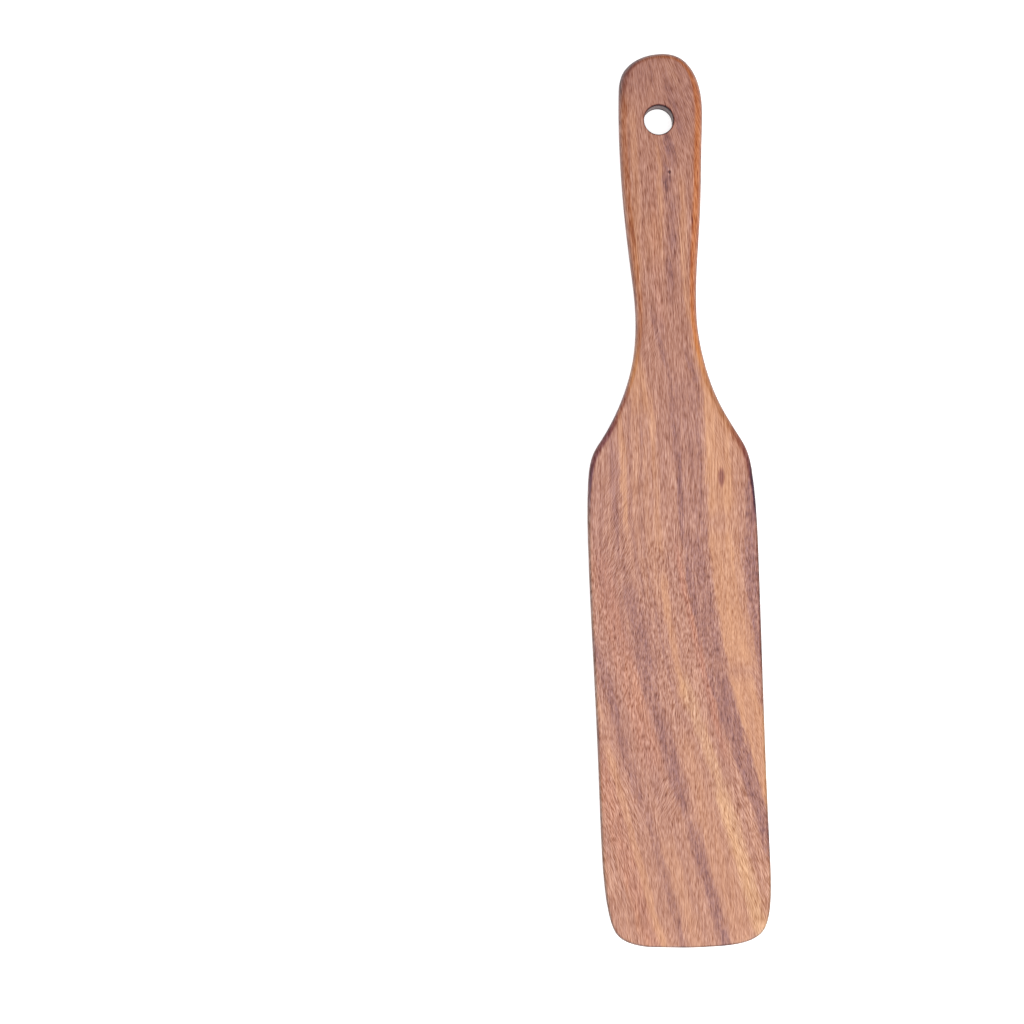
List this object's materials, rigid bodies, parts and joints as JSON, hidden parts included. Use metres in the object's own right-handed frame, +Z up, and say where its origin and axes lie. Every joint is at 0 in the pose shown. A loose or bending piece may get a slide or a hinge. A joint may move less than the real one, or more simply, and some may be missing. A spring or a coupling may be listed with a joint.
{
  "type": "wooden spatula",
  "caption": "Flat one-piece wooden offset spatula with a round-edged handle, a hanging hole, a flared shoulder and a long thin blade with a bevelled, slightly bowed tip.",
  "frame": {"origin": "middle of the outline's box on the flat back, which lies on z = 0", "axes": "+Y from the blade's tip to the end of the handle, +X to the right seen from above with the handle pointing away, +Z up, out of the bevelled face"},
  "size_m": [0.063, 0.33, 0.009],
  "materials": {
    "wood": "oiled satin"
  },
  "bodies": {
    "root": {"wooden_spatula": "wood"}
  },
  "joints": []
}
